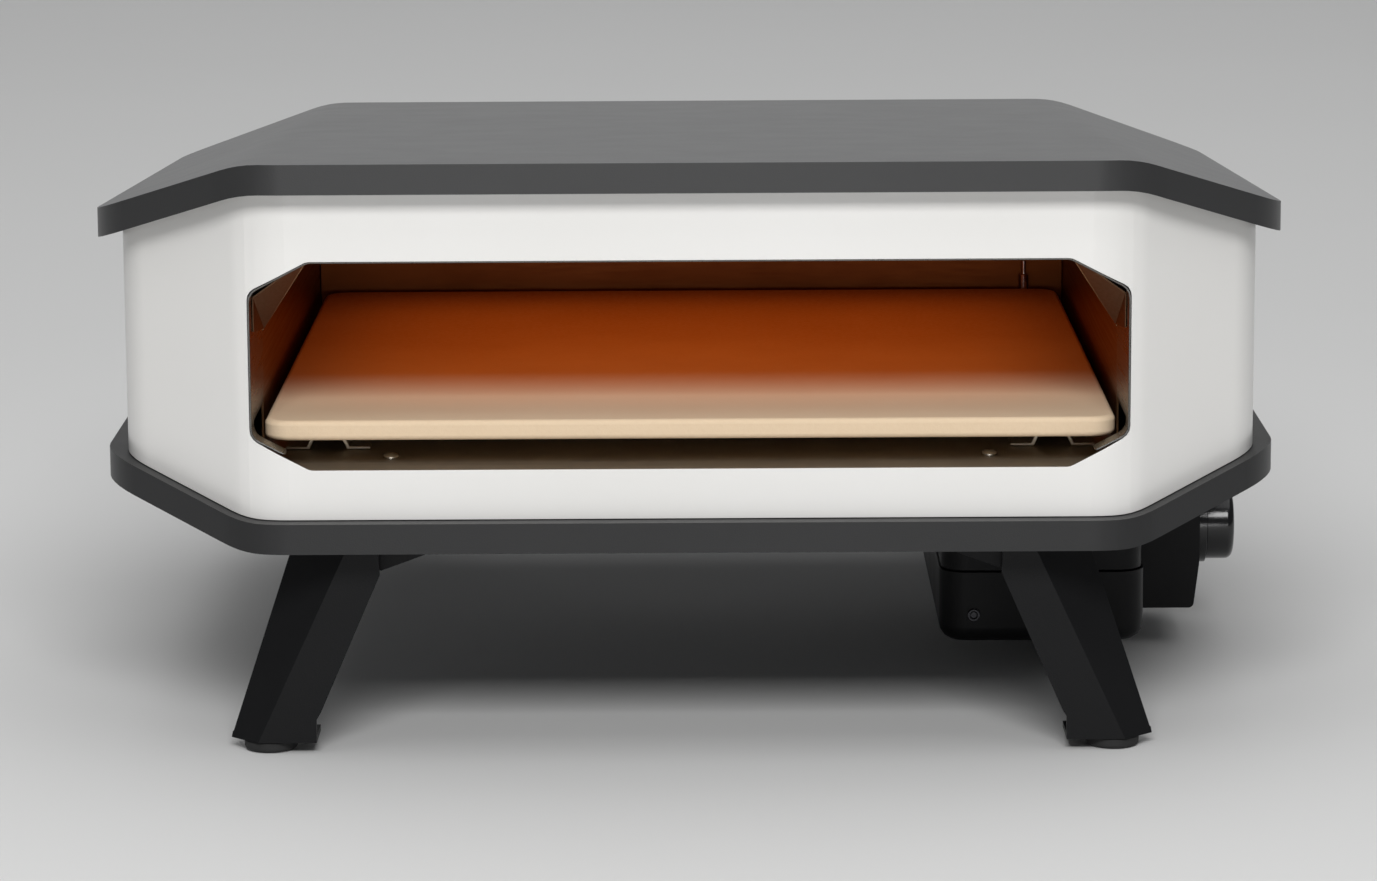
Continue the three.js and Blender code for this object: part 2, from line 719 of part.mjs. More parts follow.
function boxOutline(inset) {
  const corners = [[boxLeft + inset, boxFront + inset], [boxRight - inset, boxFront + inset],
    [boxRight - inset, boxRear - inset], [boxLeft + inset, boxRear - inset]];
  return polygon(corners, boxRadius - inset, bendSteps);
}

function boxPrism(inset, low, high) {
  return prismZ(boxOutline(inset), low, high);
}

function boxTub(inset, lift) {
  const points = [];
  for (let step = 0; step <= foldSteps; step += 1) {
    const angle = ((step / foldSteps) * Math.PI) / 2;
    const z = boxLow + lift + boxBottomRound * (1 - Math.cos(angle));
    const outline = boxOutline(inset + boxBottomRound * (1 - Math.sin(angle))).getPoints();
    points.push(...outline.map((p) => new THREE.Vector3(p.x, p.y, z)));
  }
  points.push(...boxOutline(inset).getPoints().map((p) => new THREE.Vector3(p.x, p.y, boxSeam + lift)));
  return solidOf(new ConvexGeometry(points));
}

function controlCover() {
  const end = boxFront + boxRadius;
  const screwHole = rodY(rearScrewShank + pinClearance, boxFront - overrun, end, boxScrewX, boxScrewZ, pipeSides);
  return boxTub(0, 0).subtract(boxTub(boxWall, boxWall)).subtract(screwHole);
}

function controlScrew() {
  const face = boxFront - seat;
  const head = rodY(boxScrewRadius, face - boxScrewHead, face, boxScrewX, boxScrewZ, roundSteps / 2);
  const shankEnd = boxFront + boxWall;
  return head.add(rodY(rearScrewShank, face - boxScrewHead / 2, shankEnd, boxScrewX, boxScrewZ, pipeSides));
}

function cheekOutline(inset) {
  const left = boxRight + seat;
  const right = cheekRight - inset;
  const corners = [[left, cheekLow + inset, 0], [right - cheekTaper, cheekLow + inset, cheekRound],
    [right, cheekTaperHigh, cheekTaperRadius - inset], [right, cheekHigh - inset, cheekRound],
    [left, cheekHigh - inset, 0]];
  return rounded(corners.map(([x, z, radius]) => Object.assign(new THREE.Vector2(x, z), { radius })), 0, bendSteps);
}

function knobHousing() {
  const outer = prismY(cheekOutline(0), cheekFront, cheekRear);
  const hollow = prismY(cheekOutline(boxWall), cheekFront + boxWall, cheekRear - boxWall);
  const mouth = block(boxRight - overrun, boxRight + boxWall, cheekFront + boxWall, cheekRear - boxWall,
    cheekLow + boxWall, cheekHigh - boxWall);
  const spindleHole = rodX(spindleRadius + pinClearance, cheekRight - overrun, cheekRight + overrun, knobY, knobZ);
  const tailHole = rodY(tailRadius + pinClearance, cheekRear - overrun, cheekRear + overrun, valveX, knobZ);
  return outer.subtract(hollow).subtract(mouth).subtract(spindleHole).subtract(tailHole);
}

const valveRight = cheekRight - boxWall - seat;
const valveX = valveRight - valveLength / 2;

function gasValve() {
  const left = valveRight - valveLength;
  const body = block(left, valveRight - valveCollar, knobY - valveWidth / 2, knobY + valveWidth / 2,
    knobZ - valveHeight / 2, knobZ + valveHeight / 2);
  const collar = rodX(valveHeight / 2, left + valveCollar, valveRight, knobY, knobZ, roundSteps);
  return body.add(collar);
}

function hoseTail() {
  const start = knobY + valveWidth / 2 + seat;
  const end = cheekRear + tailReach;
  const nutStart = cheekRear + seat;
  const nut = rodY(tailNutRadius, nutStart, nutStart + tailNut, valveX, knobZ, nutSides);
  const barbs = [1, 2].map((i) => {
    const barbEnd = end - (i - 1) * (tailBarb + seat);
    const cone = new THREE.CylinderGeometry(tailRadius, tailBarbRadius, tailBarb, roundSteps / 2);
    return solidOf(cone.translate(valveX, barbEnd - tailBarb / 2, knobZ));
  });
  const whole = rodY(tailRadius, start, end, valveX, knobZ, roundSteps / 2).add(nut).add(union(barbs));
  return whole.subtract(rodY(tailBore, start + tailBarb, end + overrun, valveX, knobZ, roundSteps / 2));
}

function gasPipe() {
  const start = valveRight - valveLength - seat;
  const v = (x, y, z) => new THREE.Vector3(x, y, z);
  const corners = [v(start, knobY, knobZ), v(pipeX, knobY, knobZ), v(pipeX, pipeRiseY, knobZ),
    v(pipeX, pipeRiseY, pipeRunZ), v(pipeX, burnerY, pipeRunZ), v(pipeX, burnerY, pipeEndZ)];
  const path = new THREE.CurvePath();
  let from = corners[0];
  for (let i = 1; i < corners.length - 1; i += 1) {
    const corner = corners[i];
    const turn = Math.min(pipeTurn, corner.distanceTo(corners[i + 1]) / 2, corner.distanceTo(corners[i - 1]) / 2);
    const first = corner.clone().add(corners[i - 1].clone().sub(corner).setLength(turn));
    const last = corner.clone().add(corners[i + 1].clone().sub(corner).setLength(turn));
    path.add(new THREE.LineCurve3(from, first));
    path.add(new THREE.QuadraticBezierCurve3(first, corner, last));
    from = last;
  }
  path.add(new THREE.LineCurve3(from, corners[corners.length - 1]));
  const circle = new THREE.Shape();
  circle.absarc(0, 0, pipeRadius, 0, Math.PI * 2);
  const section = new THREE.Shape(circle.getPoints(pipeSides).slice(0, pipeSides));
  return solidOf(new THREE.ExtrudeGeometry(section, {
    steps: pipeSteps, bevelEnabled: false, extrudePath: path,
  }));
}

// Knob, bezel and spindle, all round the X axis at the knob's height

const bezelLeft = cheekRight + seat;
const knobLeft = bezelLeft + bezelFloor + knobPush + seat;
const knobRight = knobLeft + knobLength;
const spindleRight = knobRight - knobFace - knobPush - seat;

function turned(pairs, left) {
  const profile = pairs.map(([radius, along]) => new THREE.Vector2(radius, along));
  const lathe = new THREE.LatheGeometry(profile, roundSteps);
  return solidOf(lathe.rotateZ(-Math.PI / 2).translate(left, knobY, knobZ));
}

function flatRod(radius, flat, left, right) {
  const cut = block(left - overrun, right + overrun, knobY - knobRadius, knobY + knobRadius, knobZ + flat,
    knobZ + knobRadius);
  return rodX(radius, left, right, knobY, knobZ, roundSteps / 2).subtract(cut);
}

function knobBezel() {
  const cup = turned([[0, 0], [bezelOuter, 0], [bezelOuter, bezelLength], [bezelInner, bezelLength],
    [bezelInner, bezelFloor], [0, bezelFloor], [0, 0]], bezelLeft);
  const end = bezelLeft + overrun;
  return cup.subtract(rodX(spindleRadius + pinClearance, bezelLeft - overrun, end, knobY, knobZ, roundSteps / 2));
}

function valveSpindle() {
  const left = valveRight + seat;
  const round = rodX(spindleRadius, left, bezelLeft + bezelFloor, knobY, knobZ, roundSteps / 2);
  return round.add(flatRod(spindleRadius, spindleFlat, bezelLeft + bezelFloor / 2, spindleRight));
}

function knob() {
  const profile = [[0, 0], [knobRadius, 0]];
  for (let step = 0; step <= bendSteps; step += 1) {
    const angle = ((step / bendSteps) * Math.PI) / 2;
    profile.push([knobRadius - knobRound * (1 - Math.cos(angle)), knobLength - knobRound * (1 - Math.sin(angle))]);
  }
  profile.push([knobDishRadius, knobLength], [knobDishRadius - knobDish, knobLength - knobDish],
    [0, knobLength - knobDish]);
  const bore = flatRod(spindleRadius + pinClearance, spindleFlat + pinClearance, knobLeft - overrun,
    knobRight - knobFace);
  const mark = block(knobRight - knobDish - knobMarkDeep, knobRight + overrun, knobY - knobMarkWidth / 2,
    knobY + knobMarkWidth / 2, knobZ + knobDishRadius / 3, knobZ + knobRadius);
  return turned(profile, knobLeft).subtract(bore).subtract(mark);
}

// Legs and their hinges, built for +X and -Y

const soleLow = footHigh + seat;

function behindSide(depth) {
  const slope = new THREE.Vector3(legRidgeSole - legRidgeTop, 0, soleLow - legHigh);
  const back = new THREE.Vector3(legSideSpread, legSideDepth, 0);
  const inward = slope.clone().cross(back).normalize().multiplyScalar(-depth);
  const points = [];
  for (const end of [-1, 2]) {
    const ridge = new THREE.Vector3(legRidgeTop, legFrontY, legHigh).addScaledVector(slope, end).add(inward);
    for (const reach of [-1, 2]) {
      const edge = ridge.clone().addScaledVector(back, reach);
      points.push(edge, new THREE.Vector3(0, edge.y, edge.z));
    }
  }
  return solidOf(new ConvexGeometry(points));
}

function leg() {
  const rear = legFrontY + legWebRear;
  const front = prismY(polygon([[legRidgeTop, legHigh], [legNear, legHigh], [legBendNear, legBendHigh],
    [legAnkleNear, legAnkleHigh], [legHeelNear, legHeelHigh], [legHeelNear, soleLow], [legRidgeSole, soleLow]]),
  legFrontY, legFrontY + legWall);
  const sideShape = polygon([[legFrontY, soleLow], [legFrontY + legSoleSide, soleLow], [rear, legHigh],
    [legFrontY, legHigh]]);
  const side = prismX(sideShape, legNear, legRidgeSole + legSideSpread).subtract(behindSide(legWall));
  const soleOut = legRidgeSole + (legSoleSide / legSideDepth) * legSideSpread;
  const sole = prismZ(polygon([[legHeelNear, legFrontY], [legRidgeSole, legFrontY],
    [soleOut, legFrontY + legSoleSide], [soleOut - legSoleSpread, legFrontY + legSoleRear],
    [legHeelNear, legFrontY + legSoleRear]]), soleLow, soleLow + legWall);
  const rimTop = legRidgeTop + (legWebRear / legSideDepth) * legSideSpread;
  const rimLow = THREE.MathUtils.mapLinear(legWebLow, legHigh, soleLow, rimTop, soleOut);
  const web = prismY(polygon([[legNear, legHigh], [legNear, legPivotZ], [legPivotX, legWebLow],
    [rimLow, legWebLow], [rimTop, legHigh]]), rear - legWall, rear);
  const inside = legFrontY + legWall;
  const pinHole = rodY(legPinRadius + pinClearance, inside, rear + overrun, legPivotX, legPivotZ, roundSteps / 2);
  return union([front, side, sole, web]).intersect(behindSide(0)).subtract(pinHole);
}

function foot() {
  const profile = [new THREE.Vector2(0, 0)];
  for (let step = 0; step <= foldSteps; step += 1) {
    const angle = ((step / foldSteps) * Math.PI) / 2;
    const radius = footRadius - footRound * (1 - Math.sin(angle));
    profile.push(new THREE.Vector2(radius, footRound * (1 - Math.cos(angle))));
  }
  profile.push(new THREE.Vector2(footRadius, footHigh), new THREE.Vector2(0, footHigh));
  return solidOf(new THREE.LatheGeometry(profile, roundSteps).rotateX(Math.PI / 2).translate(footX, footY, 0));
}

function legPin() {
  const rear = legFrontY + legWebRear;
  const head = rodY(legPinHeadRadius, rear + seat, rear + seat + legPinHead, legPivotX, legPivotZ, roundSteps / 2);
  const inside = legFrontY + legWall + seat;
  return head.add(rodY(legPinRadius, inside, rear + seat + legPinHead / 2, legPivotX, legPivotZ, roundSteps / 2));
}

function legBracket() {
  const high = trayTop - trayWall - seat;
  const front = legFrontY + legWall + seat;
  const rear = legFrontY + legWebRear - legWall - seat;
  const slant = earRadius * Math.SQRT1_2;
  const near = legPivotX - earReach;
  const outline = [[near, high], [near, legPivotZ - earTipDrop], [legPivotX - earBendReach, legPivotZ - earDrop],
    [legPivotX, legPivotZ - earRadius], [legPivotX + slant, legPivotZ + slant], [legPivotX, high]];
  const ear = (from) => prismY(polygon(outline), from, from + earWall).add(
    rodY(earRadius, from, from + earWall, legPivotX, legPivotZ, roundSteps / 2));
  const spacer = rodY(earSpacerRadius, front, front + earSpacer, legPivotX, legPivotZ, roundSteps / 2);
  const stopLeft = legPivotX + stopOut;
  const stopFront = legFrontY + stopBack;
  const stopRight = stopLeft + stopWidth;
  const floor = block(near, stopRight, front + earSpacer - seat, rear, high - bracketFloor, high);
  const stop = block(stopLeft, stopRight, stopFront, stopFront + stopDepth, legHigh + seat, high);
  const pinHole = rodY(legPinRadius + pinClearance, legFrontY, rear + overrun, legPivotX, legPivotZ, roundSteps / 2);
  return union([ear(front + earSpacer - seat), ear(rear - earWall), spacer, floor, stop]).subtract(pinHole);
}

addPiece('lid', lid(), materials.blackPaint);
addPiece('outer_shell', outerShell(), materials.whitePaint);
addPiece('base_tray', baseTray(), materials.blackPaint);
addPiece('rear_panel', rearPanel(), materials.steel);
rearScrewPlaces().forEach((place, i) => {
  addPiece(`rear_screw_${i + 1}`, rearScrew(place), materials.screwSteel);
});
addPiece('opening_trim', openingTrim(), materials.steel);
addPiece('chamber_floor', floorPan(), materials.steel);
addPiece('chamber_side_left', linerSide(-1), materials.steel);
addPiece('chamber_side_right', linerSide(1), materials.steel);
addPiece('chamber_back', linerBack(), materials.steel);
addPiece('chamber_roof', linerRoof(), materials.steel);
addPiece('pizza_stone', pizzaStone(), materials.stone);
addPiece('stone_support_front_left', stoneSupport(-1, supportFrontY), materials.steel);
addPiece('stone_support_front_right', stoneSupport(1, supportFrontY), materials.steel);
addPiece('stone_support_rear_left', stoneSupport(-1, supportRearY), materials.steel);
addPiece('stone_support_rear_right', stoneSupport(1, supportRearY), materials.steel);
floorScrewPlaces().forEach((place, i) => {
  addPiece(`floor_screw_${i + 1}`, floorScrew(place), materials.screwSteel);
});
addPiece('burner_tube', burner(), materials.steel);
addPiece('burner_shield', burnerShield(), materials.steel);
addPiece('igniter_electrode', standingRod(-electrodeX, electrodeY, electrodeBase, electrodeRadius, electrodeHigh,
  electrodeTip), materials.ceramic);
addPiece('thermocouple', standingRod(probeX, probeY, probeBase, probeRadius, probeHigh, probeTip),
  materials.screwSteel);
addPiece('gas_pipe', gasPipe(), materials.screwSteel);
addPiece('gas_valve', gasValve(), materials.brass);
addPiece('hose_tail', hoseTail(), materials.brass);
addPiece('control_frame', controlFrame(), materials.blackPaint);
addPiece('control_cover', controlCover(), materials.blackPaint);
addPiece('control_screw', controlScrew(), materials.screwSteel);
addPiece('knob_housing', knobHousing(), materials.blackPaint);
addPiece('knob_bezel', knobBezel(), materials.knobBlack);
addPiece('valve_spindle', valveSpindle(), materials.screwSteel);
addPiece('knob', knob(), materials.knobBlack);
for (const [corner, right, front] of [['front_left', -1, 1], ['front_right', 1, 1], ['rear_left', -1, -1],
  ['rear_right', 1, -1]]) {
  addPiece(`leg_${corner}`, leg(), materials.blackPaint, right, front);
  addPiece(`foot_${corner}`, foot(), materials.rubber, right, front);
  addPiece(`leg_pin_${corner}`, legPin(), materials.screwSteel, right, front);
  addPiece(`leg_bracket_${corner}`, legBracket(), materials.blackPaint, right, front);
}

export default oven;
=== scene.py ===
# Portable pizza oven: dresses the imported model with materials, rounded edges and studio light.
import json
import math

import bmesh
import bpy
from mathutils import Matrix, Vector

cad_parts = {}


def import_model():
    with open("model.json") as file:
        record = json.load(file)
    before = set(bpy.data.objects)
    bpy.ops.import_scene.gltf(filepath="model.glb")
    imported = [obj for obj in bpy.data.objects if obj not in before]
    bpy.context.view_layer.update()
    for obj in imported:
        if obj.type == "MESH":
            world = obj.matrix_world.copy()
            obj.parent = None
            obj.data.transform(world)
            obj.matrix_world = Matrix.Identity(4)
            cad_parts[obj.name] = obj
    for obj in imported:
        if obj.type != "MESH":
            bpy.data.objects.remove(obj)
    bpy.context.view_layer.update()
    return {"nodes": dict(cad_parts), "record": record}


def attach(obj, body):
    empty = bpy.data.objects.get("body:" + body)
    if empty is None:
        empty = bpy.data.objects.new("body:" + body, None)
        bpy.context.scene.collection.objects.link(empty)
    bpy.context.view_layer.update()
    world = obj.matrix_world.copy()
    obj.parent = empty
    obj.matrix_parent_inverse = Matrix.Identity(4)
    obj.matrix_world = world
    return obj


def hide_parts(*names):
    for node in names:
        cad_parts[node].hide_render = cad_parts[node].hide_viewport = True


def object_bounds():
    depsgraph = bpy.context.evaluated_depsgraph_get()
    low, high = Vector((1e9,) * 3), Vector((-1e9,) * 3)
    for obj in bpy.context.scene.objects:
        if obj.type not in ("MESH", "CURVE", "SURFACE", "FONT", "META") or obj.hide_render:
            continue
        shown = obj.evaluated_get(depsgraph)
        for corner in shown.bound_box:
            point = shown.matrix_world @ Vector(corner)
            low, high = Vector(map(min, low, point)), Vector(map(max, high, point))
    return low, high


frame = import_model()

CORNERS = ("front_left", "front_right", "rear_left", "rear_right")
BODY_OF = {node: body for body, nodes in frame["record"]["behaviour"]["bodies"].items()
           for node in nodes}


def add_object(name, data):
    """A new object in the scene."""
    item = bpy.data.objects.new(name, data)
    bpy.context.scene.collection.objects.link(item)
    return item


# Materials

class Nodes:
    """Adds and links the shader nodes of one material."""

    def __init__(self, name):
        self.material = bpy.data.materials.new(name)
        self.material.use_nodes = True
        self.tree = self.material.node_tree
        self.shader = self.tree.nodes["Principled BSDF"]
        self.coords = self.add("ShaderNodeTexCoord").outputs["Object"]

    def add(self, kind, **values):
        node = self.tree.nodes.new(kind)
        for key, value in values.items():
            setattr(node, key, value)
        return node

    def feed(self, value, socket):
        """Sets a socket to a number or a colour, or links it to another node's output."""
        if isinstance(value, tuple):
            socket.default_value = (*value, 1.0)
        elif isinstance(value, (int, float)):
            socket.default_value = value
        else:
            self.tree.links.new(value, socket)

    def set(self, **values):
        """Sets sockets of the shader itself."""
        for key, value in values.items():
            self.shader.inputs[key.replace("_", " ")].default_value = value

    def stretched(self, scale):
        mapping = self.add("ShaderNodeMapping")
        mapping.inputs["Scale"].default_value = scale
        self.feed(self.coords, mapping.inputs["Vector"])
        return mapping.outputs["Vector"]

    def noise(self, scale, detail, rough=0.5, vector=None):
        node = self.add("ShaderNodeTexNoise")
        for name, value in (("Scale", scale), ("Detail", detail), ("Roughness", rough),
                            ("Vector", vector or self.coords)):
            self.feed(value, node.inputs[name])
        return node.outputs["Fac"]

    def range(self, value, low, high, to_low, to_high):
        node = self.add("ShaderNodeMapRange")
        for name, number in (("Value", value), ("From Min", low), ("From Max", high),
                             ("To Min", to_low), ("To Max", to_high)):
            self.feed(number, node.inputs[name])
        return node.outputs["Result"]

    def spread(self, noise, low, high):
        """Stretches the usual spread of a noise, 0.3 to 0.7, over low to high."""
        return self.range(noise, 0.3, 0.7, low, high)

    def axis(self, vector, name):
        split = self.add("ShaderNodeSeparateXYZ")
        self.feed(vector, split.inputs["Vector"])
        return split.outputs[name]

    def depth(self, front, back, clouds, swing):
        """From 0 at the front to 1 at the back, both along Y, moved by clouds."""
        along = self.range(self.axis(self.coords, "Y"), front, back, 0.0, 1.0)
        return self.math("ADD", along, self.range(clouds, 0.25, 0.75, -swing, swing))

    def math(self, operation, one, two):
        node = self.add("ShaderNodeMath", operation=operation)
        self.feed(one, node.inputs[0])
        self.feed(two, node.inputs[1])
        return node.outputs["Value"]

    def ramp(self, value, stops):
        node = self.add("ShaderNodeValToRGB")
        elements = node.color_ramp.elements
        while len(elements) < len(stops):
            elements.new(1.0)
        for element, (place, colour) in zip(elements, stops):
            element.position = place
            element.color = (*colour, 1.0)
        self.feed(value, node.inputs["Fac"])
        return node.outputs["Color"]

    def mix(self, factor, one, two):
        """Mixes two colours; the node's sockets 6 and 7 and its output 2 are the colour ones."""
        node = self.add("ShaderNodeMix", data_type="RGBA")
        self.feed(factor, node.inputs["Factor"])
        self.feed(one, node.inputs[6])
        self.feed(two, node.inputs[7])
        return node.outputs[2]

    def bump(self, height, strength, distance):
        node = self.add("ShaderNodeBump")
        for name, value in (("Height", height), ("Strength", strength), ("Distance", distance)):
            self.feed(value, node.inputs[name])
        self.feed(node.outputs["Normal"], self.shader.inputs["Normal"])

    def base(self, colour):
        self.feed(colour, self.shader.inputs["Base Color"])

    def rough(self, value):
        self.feed(value, self.shader.inputs["Roughness"])


def powder_coat(name, dark, light, rough, gloss):
    """Fine-grained powder coat: a faint orange-peel bump and a cloudy sheen."""
    m = Nodes(name)
    m.base(m.mix(m.spread(m.noise(9.0, 4.0), 0.0, 1.0), dark, light))
    m.rough(m.spread(m.noise(35.0, 5.0), *rough))
    m.bump(m.noise(1300.0, 2.0), strength=0.16, distance=0.0004)
    m.set(Specular_IOR_Level=gloss)
    return m.material


def enamel(name, dark, light, rough):
    """Warm white baked enamel with a very slight waviness."""
    m = Nodes(name)
    m.base(m.mix(m.spread(m.noise(5.0, 3.0), 0.0, 1.0), dark, light))
    m.rough(m.range(m.noise(22.0, 4.0), 0.2, 0.8, *rough))
    m.bump(m.noise(700.0, 2.0), strength=0.05, distance=0.0003)
    m.set(Coat_Weight=0.25, Coat_Roughness=0.18)
    return m.material


# Colours that heat leaves on steel, with painted flame glow and shade, darkening from the oven's
# mouth to its back
HEAT_TINTS_AND_GLOW = ((0.0, (0.19, 0.11, 0.06)), (0.3, (0.20, 0.09, 0.035)),
              (0.62, (0.16, 0.05, 0.014)), (1.0, (0.10, 0.028, 0.007)))


def heat_tint_and_glow(m):
    """The tint of heated steel with painted flame glow and shade, by its depth in the oven."""
    return m.ramp(m.depth(-0.26, 0.24, m.noise(11.0, 4.0), swing=0.16), HEAT_TINTS_AND_GLOW)


def brushed(name, rough, grain, colours=None, heat_and_glow=0.0):
    """Brushed stainless sheet; its last argument mixes in the heat tints with their painted
    flame glow and shade, and without colours only they show.
    """
    m = Nodes(name)
    lines = m.noise(1.0, 4.0, 0.6, m.stretched(grain))
    if colours:
        plain = m.mix(m.spread(lines, 0.0, 1.0), *colours)
        m.base(m.mix(heat_and_glow, plain, heat_tint_and_glow(m)) if heat_and_glow else plain)
    else:
        m.base(heat_tint_and_glow(m))
    m.rough(m.spread(lines, *rough))
    m.bump(lines, strength=0.12, distance=0.0002)
    m.set(Metallic=1.0)
    return m.material


# Colours of the stone's upper face, from the oven's mouth to its back: toasting, with painted
# flame glow and shade darkening towards the back
TOAST_AND_GLOW = ((0.0, (0.90, 0.69, 0.47)), (0.28, (0.86, 0.63, 0.41)),
         (0.62, (0.66, 0.40, 0.21)), (1.0, (0.50, 0.24, 0.10)))


def fired_stone(name, side, grit):
    """Fired clay: cream at the mouth, toasted towards the burner with painted flame glow and
    shade on the upper face, with grains and small pits.
    """
    m = Nodes(name)
    toast_and_glow = m.ramp(m.depth(-0.27, 0.16, m.noise(7.0, 5.0, 0.6), swing=0.12), TOAST_AND_GLOW)
    grains = m.range(m.noise(420.0, 6.0, 0.7), 0.35, 0.65, 0.0, 1.0)
    normal = m.add("ShaderNodeNewGeometry").outputs["Normal"]
    upper = m.range(m.axis(normal, "Z"), 0.3, 0.9, 0.0, 1.0)
    m.base(m.mix(m.math("MULTIPLY", grains, 0.22), m.mix(upper, side, toast_and_glow), grit))
    m.set(Roughness=0.93)
    m.bump(m.noise(520.0, 6.0, 0.75), strength=0.35, distance=0.0006)
    return m.material


def metal(name, colour, rough):
    """Plated or turned metal with faint wear in its gloss."""
    m = Nodes(name)
    m.base(m.mix(m.noise(160.0, 3.0), tuple(part * 0.86 for part in colour), colour))
    m.rough(m.spread(m.noise(240.0, 4.0), *rough))
    m.set(Metallic=1.0)
    return m.material


def moulded(name, dark, light, rough, grain, coat=0.0):
    """Moulded plastic, rubber or ceramic."""
    m = Nodes(name)
    m.base(m.mix(m.noise(30.0, 3.0), dark, light))
    m.rough(m.spread(m.noise(90.0, 4.0), *rough))
    m.bump(m.noise(grain, 2.0), strength=0.12, distance=0.0003)
    m.set(Coat_Weight=coat, Coat_Roughness=0.08)
    return m.material


# How far a noise is stretched, so that brushed lines run along X or along Y
ALONG_X = (14.0, 700.0, 700.0)
ALONG_Y = (600.0, 8.0, 600.0)

# One black powder coat in three tones: lighter on the lid as painted light, middle on the tray,
# and darkest on the legs, brackets and control box under the tray as painted shade.
COAT_PAINTED_LIGHT = powder_coat("coat_painted_light", (0.0145, 0.0147, 0.0154), (0.0170, 0.0172, 0.0180),
                  rough=(0.37, 0.39), gloss=0.62)
COAT = powder_coat("dark_coat", (0.0095, 0.0097, 0.0104), (0.0115, 0.0117, 0.0125),
                   rough=(0.41, 0.44), gloss=0.50)
COAT_PAINTED_SHADE = powder_coat("coat_painted_shade", (0.0066, 0.0067, 0.0073), (0.0080, 0.0081, 0.0088),
                  rough=(0.42, 0.48), gloss=0.16)
WHITE = enamel("white_enamel", (0.78, 0.77, 0.745), (0.81, 0.80, 0.78), rough=(0.295, 0.325))
# The chamber's walls show only the heat tint with its painted flame glow and shade.
CHAMBER = brushed("chamber_steel", rough=(0.30, 0.44), grain=ALONG_Y)
PAN = brushed("pan_steel", rough=(0.42, 0.52), grain=ALONG_X,
              colours=((0.60, 0.55, 0.46), (0.70, 0.64, 0.54)), heat_and_glow=0.1)
# Dark brown steel for the chamber's front corner sheets: painted shade where they face down.
PAINTED_SHADE_STEEL = brushed("painted_shade_steel", rough=(0.36, 0.48), grain=ALONG_Y,
                 colours=((0.085, 0.045, 0.025), (0.105, 0.058, 0.033)))
# Dark steel for the opening's trim: its darkness is a painted reflection of the dark chamber.
TRIM = brushed("trim_steel", rough=(0.24, 0.34), grain=(300.0, 16.0, 300.0),
               colours=((0.115, 0.113, 0.108), (0.15, 0.147, 0.14)))
PANEL = brushed("panel_steel", rough=(0.26, 0.38), grain=ALONG_X,
                colours=((0.50, 0.49, 0.47), (0.60, 0.59, 0.57)))
BURNER = brushed("burner_steel", rough=(0.34, 0.48), grain=(60.0, 700.0, 700.0))
STONE = fired_stone("fired_stone", side=(0.79, 0.61, 0.42), grit=(0.86, 0.70, 0.51))
PLATED = metal("plated_steel", (0.66, 0.66, 0.65), rough=(0.16, 0.26))
BLACKENED = metal("blackened_steel", (0.055, 0.055, 0.06), rough=(0.22, 0.32))
BRASS = metal("turned_brass", (0.62, 0.45, 0.20), rough=(0.22, 0.34))
KNOB = moulded("knob_gloss", (0.006, 0.006, 0.007), (0.009, 0.009, 0.010),
               rough=(0.15, 0.21), grain=900.0, coat=0.2)
RUBBER = moulded("foot_rubber", (0.012, 0.012, 0.012), (0.02, 0.02, 0.02),
                 rough=(0.72, 0.85), grain=1200.0)
CERAMIC = moulded("igniter_ceramic", (0.72, 0.69, 0.62), (0.80, 0.78, 0.72),
                  rough=(0.22, 0.32), grain=500.0, coat=0.3)

# Each node's material and the width of its rounded edges in metres. With a width of 0 its faces
# are only joined and smoothed, and with None it keeps its CAD mesh.
DRESS = {
    "lid": (COAT_PAINTED_LIGHT, 0.0005),
    "base_tray": (COAT, 0.0005),
    "outer_shell": (WHITE, 0.0004),
    "rear_panel": (PANEL, 0.0003),
    "opening_trim": (TRIM, 0.0003),
    "chamber_floor": (PAN, 0.0003),
    "chamber_side_left": (CHAMBER, None),
    "chamber_side_right": (CHAMBER, None),
    "chamber_back": (CHAMBER, None),
    "chamber_roof": (CHAMBER, None),
    "pizza_stone": (STONE, 0.0008),
    "burner_tube": (BURNER, 0.0002),
    "burner_shield": (BURNER, 0.0003),
    "igniter_electrode": (CERAMIC, 0.0003),
    "thermocouple": (PLATED, 0.0003),
    "gas_pipe": (PLATED, 0.0),
    "gas_valve": (BRASS, 0.0006),
    "hose_tail": (BRASS, 0.0003),
    "control_frame": (COAT_PAINTED_SHADE, 0.0006),
    "control_cover": (COAT_PAINTED_SHADE, 0.0006),
    "control_screw": (BLACKENED, 0.0003),
    "knob_housing": (COAT_PAINTED_SHADE, 0.0006),
    "knob_bezel": (KNOB, 0.0005),
    "valve_spindle": (PLATED, 0.0002),
    "knob": (KNOB, 0.0005),
    "floor_screw_1": (PLATED, 0.0),
    "floor_screw_2": (PLATED, 0.0),
}
# Screw heads that get a socket, with the way each head faces
SOCKETS = {"control_screw": (0, -1, 0), "floor_screw_1": (0, 0, 1), "floor_screw_2": (0, 0, 1)}


# Edges with a wider round, told by the normals of the two faces that meet there

def is_rim(one, two):
    """The edge round an upper face, where it meets an upright one."""
    return max(one.z, two.z) > 0.8 and min(abs(one.z), abs(two.z)) < 0.1


def is_ridge(one, two):
    """The slanting edge between a leg's front plate and its side plate."""
    low, high = sorted((abs(one.y), abs(two.y)))
    return high > 0.98 and 0.4 < low < 0.9 and one.y * two.y > 0


# The wider round's width in metres and its test
WIDE = {"lid": (0.0026, is_rim), "base_tray": (0.0026, is_rim)}

